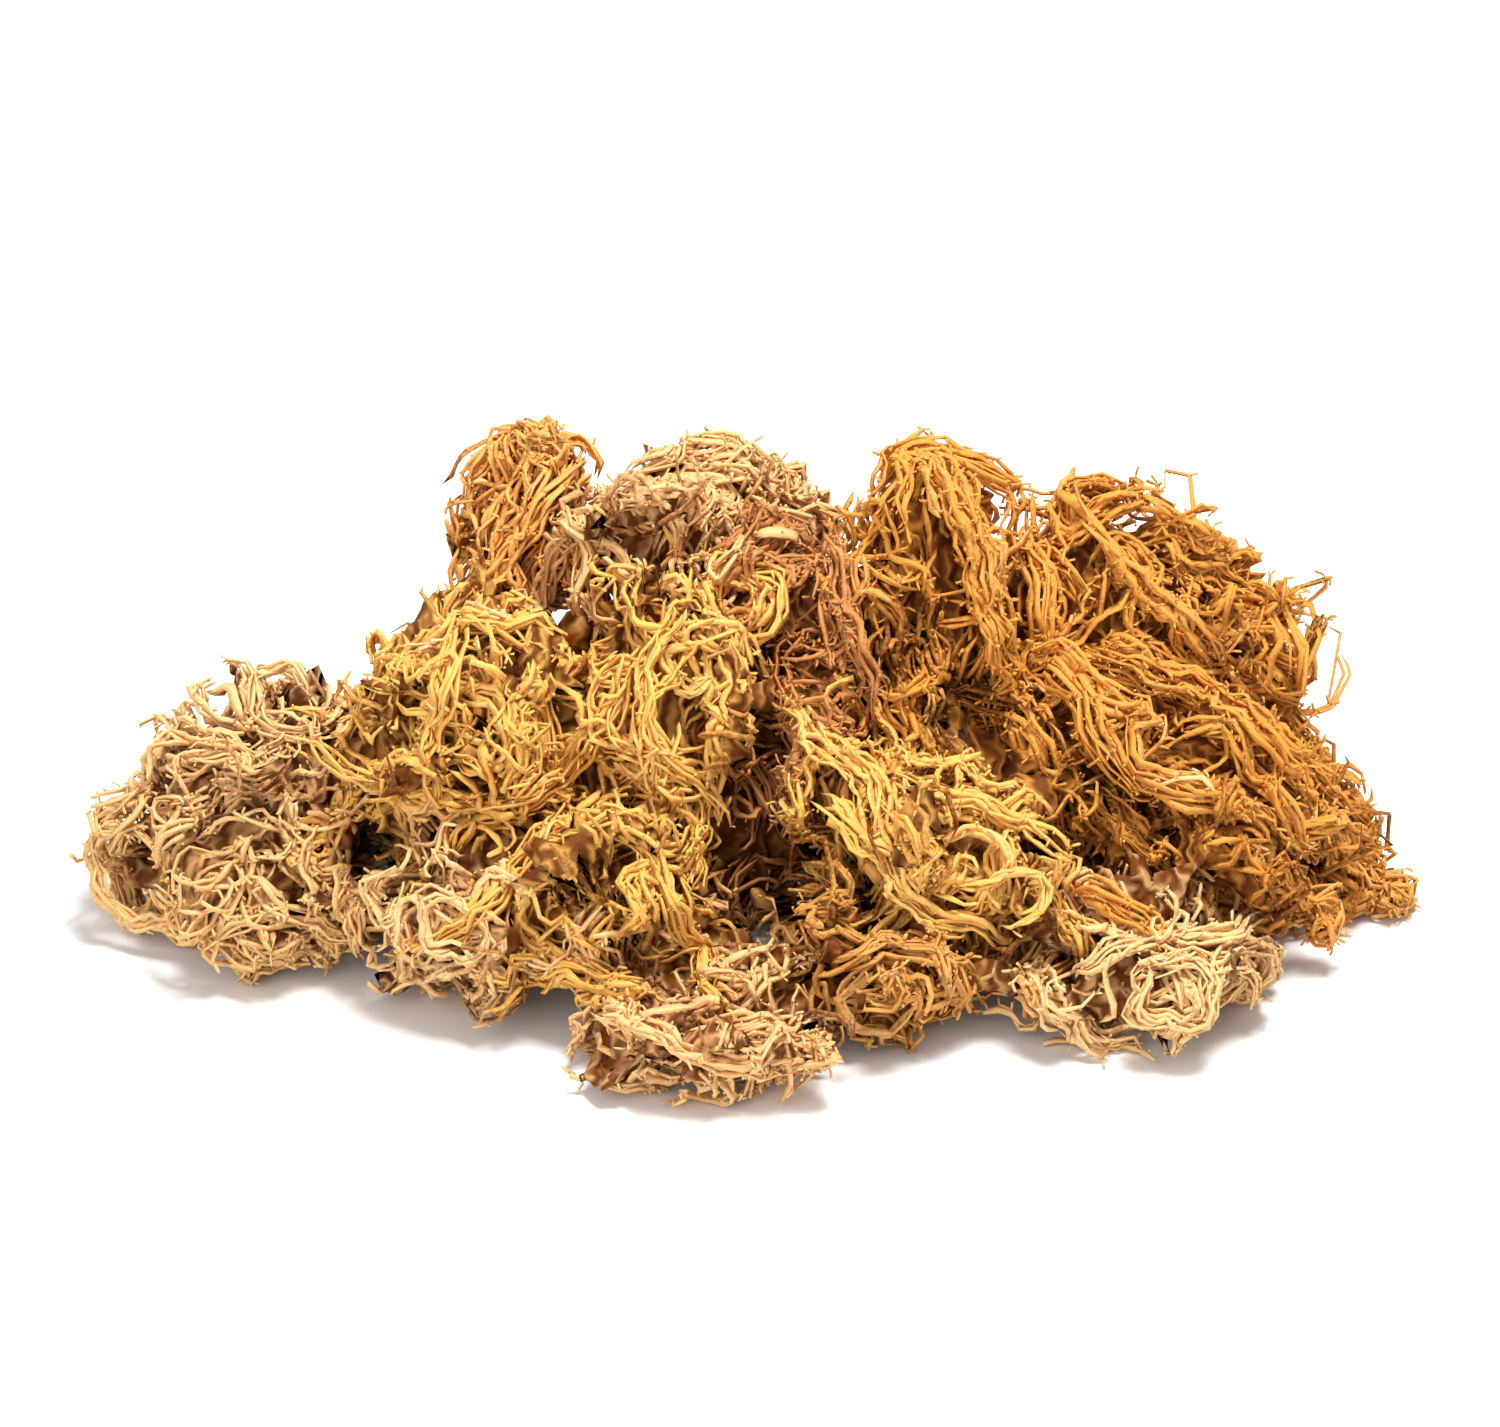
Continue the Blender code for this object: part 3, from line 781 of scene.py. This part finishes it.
    def locks(self, seeds):
        """Locks that follow the tuft's flow."""
        rng, sizes = self.rng, self.sizes
        for face in seeds:
            length = self.tuft.lock * rng.uniform(0.6, 1.4)
            height, lift = rng.uniform(-0.9, 0.9) * MM, rng.uniform(0, 1.6) * MM
            guide = self.walk(SKIN.centres[face], length, height, lift)
            half_width = sizes.lock_width * rng.uniform(0.7, 1.3)
            self.lock(guide, max(3, int(sizes.lock_strands * rng.uniform(0.6, 1.4) + 0.5)), half_width)

    def loose(self, seeds):
        """Curls on top, and wisps that stand out."""
        rng = self.rng
        for face in seeds:
            tight = rng.random() < TIGHT_SHARE
            length = self.sizes.length * rng.uniform(0.5, 1.4)
            curl = rng.choice((-1, 1)) * rng.uniform(0.25, 0.5) if tight else None
            lift, height = rng.uniform(0.5, 3.0) * MM, rng.uniform(0.3, 1.3) * MM
            follow = TIGHT_FOLLOW if tight else FOLLOW
            guide = self.walk(SKIN.centres[face], length, height, lift, follow, curl)
            self.lock(guide, rng.choice((1, 1, 2)), 0.5 * MM, 1.2)

    def rings(self):
        """The tuft's coils, turned to face half way to the front."""
        for ring in RINGS:
            if ring.tuft == self.tuft.name:
                place, outward = SKIN.seen(ring.right * MM, ring.up * MM)
                axis = (outward - VIEW).normalized()
                across = axis.orthogonal().normalized()
                other = axis.cross(across)
                start = self.rng.uniform(0, math.tau)
                count = max(9, int(ring.turns * math.tau * ring.radius * MM / self.sizes.step))
                guide = Guide([], [], [])
                for i in range(count):
                    angle = start + ring.turns * math.tau * i / (count - 1)
                    spoke = across * math.cos(angle) + other * math.sin(angle)
                    wobble = 1 + RING_WOBBLE * noise.noise(Vector((angle * 0.8, ring.right, ring.up)))
                    spoke_end = spoke * ring.radius * wobble * MM
                    guide.places.append(place + outward * ring.height * MM + spoke_end)
                    guide.outs.append((axis + spoke * 0.3).normalized())
                    guide.heights.append((ring.height + 0.6) * MM)
                self.lock(guide, ring.strands, ring.width * MM, 0.6, own_dye=True)

    def drawn(self, points, height):
        """A guide over the skin through points that are given as seen from the front."""
        guide = Guide([], [], [])
        for (right, up), (next_right, next_up) in zip(points, points[1:]):
            seen_length = math.hypot(next_right - right, next_up - up)
            steps = max(2, int(seen_length * FORESHORTENING * MM / self.sizes.step))
            for i in range(steps):
                share = i / steps
                across = right + (next_right - right) * share
                place, outward = SKIN.seen(across * MM, (up + (next_up - up) * share) * MM)
                if guide.places:
                    outward = (outward + guide.outs[-1] * 2).normalized()
                swell, sink = RELIEF.folds(place)
                guide.places.append(place + outward * (height * MM + swell + sink))
                guide.outs.append(outward)
                guide.heights.append(height * MM + sink)
        smooth = guide.places[:]
        for i in range(1, len(smooth) - 1):
            guide.places[i] = (smooth[i - 1] + smooth[i] + smooth[i + 1]) / 3
        return guide

    def ridges(self):
        """The tuft's long locks and its thick stalks."""
        for ridge in RIDGES:
            if ridge.tuft == self.tuft.name:
                guide = self.drawn(ridge.points, ridge.height)
                self.lock(guide, ridge.strands, ridge.width * MM, 1.0, own_dye=True)
        for stipe in STIPES:
            if stipe.tuft == self.tuft.name:
                guide = self.drawn(stipe.points, STIPE_HEIGHT)
                self.lock(guide, 1, 0, 0.5, stipe.radius * MM / self.sizes.radius, own_dye=True)

    def room(self, face, chosen):
        """How far a face is from the nearest of those that are chosen."""
        return min((SKIN.centres[face] - SKIN.centres[other]).length for other in chosen)

    def seeds(self, faces, weights, count, spread):
        """Places for locks or fronds. With spread, each is the farthest from the rest of a few tries."""
        chosen = []
        for _ in range(count):
            tries = self.rng.choices(faces, weights=weights, k=CANDIDATES if spread else 1)
            if chosen and spread:
                rooms = [self.room(face, chosen) for face in tries]
                chosen.append(tries[rooms.index(max(rooms))])
            else:
                chosen.append(tries[0])
        return chosen

    def cover(self):
        """Covers the tuft with its fronds."""
        sizes = self.sizes
        own = np.flatnonzero(SKIN.owners == NUMBER[self.tuft.name])
        areas = SKIN.areas[own]
        under = [SKIN.normals[face].z < UNDER_SLOPE and SKIN.centres[face].z < UNDER_HEIGHT for face in own]
        weights = np.where(under, areas * UNDER_COVER, areas)
        total = weights.sum() / MM**2 * sizes.cover * self.tuft.cover * MM
        faces, weights = own.tolist(), weights.tolist()
        in_lock = self.tuft.lock * LOCK_USED * sizes.lock_strands
        self.matted(self.seeds(faces, weights, int(total * MATTED_SHARE / (sizes.length * 0.7)), False))
        self.locks(self.seeds(faces, weights, int(total * LOCK_SHARE / in_lock), True))
        self.loose(self.seeds(faces, weights, int(total * LOOSE_SHARE / (sizes.length * 0.9)), False))
        self.rings()
        self.ridges()


def add(tree, kind, settings=None, links=None):
    """Adds a node, with its properties and its sockets' values from settings, and its sockets' links."""
    node = tree.nodes.new(kind)
    for name, value in (settings or {}).items():
        if isinstance(name, int) or name in node.inputs:
            node.inputs[name].default_value = value
        else:
            setattr(node, name, value)
    for name, source in (links or {}).items():
        tree.links.new(source, node.inputs[name])
    return node


def new_material(name):
    """An empty material, its node tree and its Object coordinates."""
    material = bpy.data.materials.new(name)
    material.use_nodes = True
    tree = material.node_tree
    tree.nodes.clear()
    return material, tree, add(tree, "ShaderNodeTexCoord").outputs["Object"]


def attribute(tree, name, output="Fac"):
    """What an attribute of the mesh gives."""
    return add(tree, "ShaderNodeAttribute", {"attribute_name": name}).outputs[output]


def speckle(tree, where, size, detail):
    """A noise whose spots are this many millimetres wide."""
    settings = {"Scale": 1 / (size * MM), "Detail": detail}
    return add(tree, "ShaderNodeTexNoise", settings, {"Vector": where}).outputs["Fac"]


def shares(tree, light, start, end, most=1.0):
    """A value spread from 0 to the most between two levels of light."""
    settings = {"From Min": start, "From Max": end, "To Max": most}
    return add(tree, "ShaderNodeMapRange", settings, {"Value": light}).outputs["Result"]


def dyed(tree, light):
    """The frond's own dye, darkened towards the deep colour as painted shade where it lies deep and as its
    own tone where it dried darker, and paled as painted light where it lies bare and as its own tone towards
    its tip.
    """
    colours = bpy.context.scene.moss_colours
    # painted shade: the deep colour is mixed in where the frond lies deep, and where it dried darker
    settings = {"Color1": (*colours.deep, 1)}
    links = {"Fac": shares(tree, light, -0.1, 0.4), "Color2": attribute(tree, "dye", "Color")}
    body = add(tree, "ShaderNodeMixRGB", settings, links).outputs["Color"]
    # painted light: the bare-tip colour is mixed in where the frond lies bare, and towards its paler tip
    settings = {"Color2": (*colours.tip_and_painted_light, 1)}
    links = {"Fac": shares(tree, light, 0.66, 1.1, 0.4), "Color1": body}
    return add(tree, "ShaderNodeMixRGB", settings, links).outputs["Color"]


def finish(tree, colour_there, rough, bump, translucence):
    """Sets the material's shader."""
    settings = {
        "IOR": 1.45,
        "Specular IOR Level": 0.25,
        "Subsurface Weight": translucence,
        "Subsurface Radius": (1.0, 0.5, 0.2),
        "Subsurface Scale": 0.9 * MM,
    }
    links = {"Base Color": colour_there, "Roughness": rough, "Normal": bump}
    shader = add(tree, "ShaderNodeBsdfPrincipled", settings, links)
    add(tree, "ShaderNodeOutputMaterial", None, {"Surface": shader.outputs[0]})


def dried_frond():
    """Sun-dried seaweed: waxy, half matte, a little translucent, mottled, with painted shade where it lies
    deep and painted light where it lies bare.
    """
    material, tree, where = new_material("sun_dried_seaweed")
    # patches of 9 mm that dried lighter or darker
    patch = speckle(tree, where, 9, 2.0)
    # mottling of 0.6 mm along a frond
    mottle = speckle(tree, where, 0.6, 3.0)
    # how light the colour is: painted shade and light from how deep the frond lies, with its real tone, its
    # paler tip, the patches and the mottling
    light = add(tree, "ShaderNodeValue").outputs[0]
    light.default_value = -0.8
    depth, along, tone = (attribute(tree, name) for name in ("depth", "along", "tone"))
    for source, weight in ((depth, 0.68), (along, 0.14), (tone, 0.24), (patch, 0.5), (mottle, 0.75)):
        settings = {"operation": "MULTIPLY_ADD", 1: weight}
        light = add(tree, "ShaderNodeMath", settings, {0: source, 2: light}).outputs[0]
    settings = {"To Min": 0.5, "To Max": 0.75}
    rough = add(tree, "ShaderNodeMapRange", settings, {"Value": mottle}).outputs["Result"]
    # wrinkles of 0.35 mm that the skin of a frond dries into
    wrinkle = speckle(tree, where, 0.35, 2.0)
    bump = add(tree, "ShaderNodeBump", {"Strength": 0.7, "Distance": 0.25 * MM}, {"Height": wrinkle})
    finish(tree, dyed(tree, light), rough, bump.outputs["Normal"], 0.3)
    return material


def matted_frond():
    """Seaweed matted in the deep: as the fronds, but drawn as bands, as so little of it shows, and darkened
    nearly to the deep colour as painted shade.
    """
    material, tree, where = new_material("matted_seaweed")
    # a wave's bands are its scale times 2 pi apart, so these come every 1.5 mm
    settings = {"Scale": 1 / (9.4 * MM), "Distortion": 14.0, "Detail": 2.0, "Detail Scale": 1.6}
    bands = add(tree, "ShaderNodeTexWave", settings, {"Vector": where}).outputs["Fac"]
    # painted shade: the bands keep the light low, so the matted body is mostly the deep colour
    settings = {"operation": "MULTIPLY_ADD", 1: 0.28, 2: -0.12}
    light = add(tree, "ShaderNodeMath", settings, {0: bands}).outputs[0]
    bump = add(tree, "ShaderNodeBump", {"Strength": 1.0, "Distance": 0.8 * MM}, {"Height": bands})
    rough = add(tree, "ShaderNodeValue").outputs[0]
    rough.default_value = 0.7
    finish(tree, dyed(tree, light), rough, bump.outputs["Normal"], 0.15)
    return material


def deep_tangle():
    """The closed body of matted fronds that shows between those of the tufts, in each tuft's own colour
    darkened nearly to the deep colour as painted shade.
    """
    mesh = wrapped("moss_deep_tangle", DEEP_CLOSING, DEEP_VOXEL, DEEP_SMOOTHING)
    body = tree_of(mesh)
    colours = bpy.context.scene.moss_colours
    dyes = []
    for vertex, outward in zip(mesh.vertices, [vertex.normal.copy() for vertex in mesh.vertices]):
        swell, sink = RELIEF.folds(vertex.co)
        over = swell * DEEP_SWELL + (sink + RELIEF.clumps(vertex.co)) * DEEP_FOLLOW - DEEP_SINK
        thick = body.ray_cast(vertex.co - outward * CLOSEST, -outward)[3] or 0.0
        vertex.co = inside_box(vertex.co + outward * max(over, -thick * DEEP_THIN))
        face = SKIN.tree.find_nearest(vertex.co)[2]
        dyes.extend((*getattr(colours, ALL_TUFTS[SKIN.owners[face]].finish), 1))
    mesh.attributes.new("dye", "FLOAT_COLOR", "POINT").data.foreach_set("color", dyes)
    mesh.shade_smooth()
    piece = bpy.data.objects.new("moss_deep_tangle", mesh)
    bpy.context.scene.collection.objects.link(piece)
    piece.data.materials.append(matted_frond())
    return piece


def grow(tufts):
    """Grows these tufts, each as one piece in place of its solid."""
    sizes = bpy.context.scene.moss_sizes
    section = section_curve()
    seaweed = bpy.data.materials.get("sun_dried_seaweed") or dried_frond()
    for tuft in tufts:
        grower = Grower(tuft, sizes)
        grower.cover()
        mesh = grower.strands.mesh(tuft.name + "_fronds", section)
        piece = bpy.data.objects.new(tuft.name + "_fronds", mesh)
        bpy.context.scene.collection.objects.link(piece)
        piece.data.materials.append(seaweed)
        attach(piece, "root")
        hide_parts(tuft.name)
    bpy.data.objects.remove(section)


class MOSS_OT_deep_tangle(bpy.types.Operator):
    """Make the matted middle of the heap"""

    bl_idname = "moss.deep_tangle"
    bl_label = "Deep tangle"

    def execute(self, context):
        piece = deep_tangle()
        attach(piece, "root")
        return {"FINISHED"}


class GrowsTufts:
    """What the operators share that grow one part of the heap."""

    def execute(self, context):
        grow(self.tufts)
        return {"FINISHED"}


class MOSS_OT_left_end(GrowsTufts, bpy.types.Operator):
    """Grow the pale tufts of the low left end"""

    bl_idname = "moss.left_end"
    bl_label = "Left end"
    tufts = LEFT_END


class MOSS_OT_gold_crown(GrowsTufts, bpy.types.Operator):
    """Grow the golden crown, left of the middle"""

    bl_idname = "moss.gold_crown"
    bl_label = "Golden crown"
    tufts = GOLD_CROWN


class MOSS_OT_dark_ridges(GrowsTufts, bpy.types.Operator):
    """Grow the darker ridges of the middle"""

    bl_idname = "moss.dark_ridges"
    bl_label = "Dark ridges"
    tufts = DARK_RIDGES


class MOSS_OT_right_fans(GrowsTufts, bpy.types.Operator):
    """Grow the combed fans on the right"""

    bl_idname = "moss.right_fans"
    bl_label = "Right fans"
    tufts = RIGHT_FANS


class MOSS_OT_front_row(GrowsTufts, bpy.types.Operator):
    """Grow the tufts of the front row"""

    bl_idname = "moss.front_row"
    bl_label = "Front row"
    tufts = FRONT_ROW


class MOSS_OT_back_row(GrowsTufts, bpy.types.Operator):
    """Grow the back, and the tuft in the middle"""

    bl_idname = "moss.back_row"
    bl_label = "Back row"
    tufts = BACK_ROW


def area_light(name, place, size, power):
    """A square soft light that faces the heap's middle. Its size is in metres, and its power in watts."""
    data = bpy.data.lights.new(name, "AREA")
    data.size = size
    data.energy = power
    lamp = bpy.data.objects.new(name, data)
    lamp.location = place
    lamp.rotation_euler = (MIDDLE - place).to_track_quat("-Z", "Y").to_euler()
    bpy.context.scene.collection.objects.link(lamp)


class MOSS_OT_stage(bpy.types.Operator):
    """Lay the pale table, and set the lights and the camera"""

    bl_idname = "moss.stage"
    bl_label = "Table, light and camera"

    def execute(self, context):
        work = bmesh.new()
        bmesh.ops.create_grid(work, x_segments=1, y_segments=1, size=TABLE_SIZE)
        mesh = bpy.data.meshes.new("table")
        work.to_mesh(mesh)
        work.free()
        table = bpy.data.objects.new("table", mesh)
        context.scene.collection.objects.link(table)
        paper = bpy.data.materials.new("matt_white_paper")
        paper.use_nodes = True
        surface = paper.node_tree.nodes["Principled BSDF"]
        surface.inputs["Base Color"].default_value = (0.9, 0.9, 0.9, 1)
        surface.inputs["Roughness"].default_value = 0.9
        mesh.materials.append(paper)
        area_light("key", Vector((0.10, -0.06, 0.62)), 0.20, 5.0)
        area_light("fill", Vector((-0.35, -0.55, 0.35)), 0.6, 2.2)
        world = bpy.data.worlds.new("studio")
        world.use_nodes = True
        sky = world.node_tree.nodes["Background"]
        sky.inputs["Color"].default_value = (1, 1, 1, 1)
        sky.inputs["Strength"].default_value = SKY
        context.scene.world = world
        context.scene.view_settings.view_transform = "Standard"
        data = bpy.data.cameras.new("camera")
        data.lens = LENS
        data.sensor_width = SENSOR
        camera = bpy.data.objects.new("camera", data)
        distance = (CAD_BOX[1][0] - CAD_BOX[0][0]) / FRAME_FILL * LENS / SENSOR
        camera.location = MIDDLE - VIEW * distance
        camera.rotation_euler = VIEW.to_track_quat("-Z", "Y").to_euler()
        context.scene.collection.objects.link(camera)
        context.scene.camera = camera
        return {"FINISHED"}


OPERATORS = [
    MOSS_OT_stage,
    MOSS_OT_deep_tangle,
    MOSS_OT_left_end,
    MOSS_OT_gold_crown,
    MOSS_OT_dark_ridges,
    MOSS_OT_right_fans,
    MOSS_OT_front_row,
    MOSS_OT_back_row,
]


class MOSS_PT_panel(bpy.types.Panel):
    """The sidebar's list of the heap's parts"""

    bl_idname = "MOSS_PT_panel"
    bl_label = "Sea Moss"
    bl_space_type = "VIEW_3D"
    bl_region_type = "UI"
    bl_category = "Sea Moss"

    def draw(self, context):
        for group in (context.scene.moss_sizes, context.scene.moss_colours):
            for name in group.__annotations__:
                self.layout.prop(group, name)
        for operator in OPERATORS:
            self.layout.operator(operator.bl_idname)


def register():
    for item in (MossSizes, MossColours, *OPERATORS, MOSS_PT_panel):
        bpy.utils.register_class(item)
    bpy.types.Scene.moss_colours = bpy.props.PointerProperty(type=MossColours)
    bpy.types.Scene.moss_sizes = bpy.props.PointerProperty(type=MossSizes)


def unregister():
    del bpy.types.Scene.moss_colours
    del bpy.types.Scene.moss_sizes
    for item in (MOSS_PT_panel, *reversed(OPERATORS), MossColours, MossSizes):
        bpy.utils.unregister_class(item)


SKIN = Skin()
RELIEF = Relief()


def main():
    register()
    for operator in OPERATORS:
        category, name = operator.bl_idname.split(".")
        getattr(getattr(bpy.ops, category), name)()


if __name__ == "__main__":
    main()
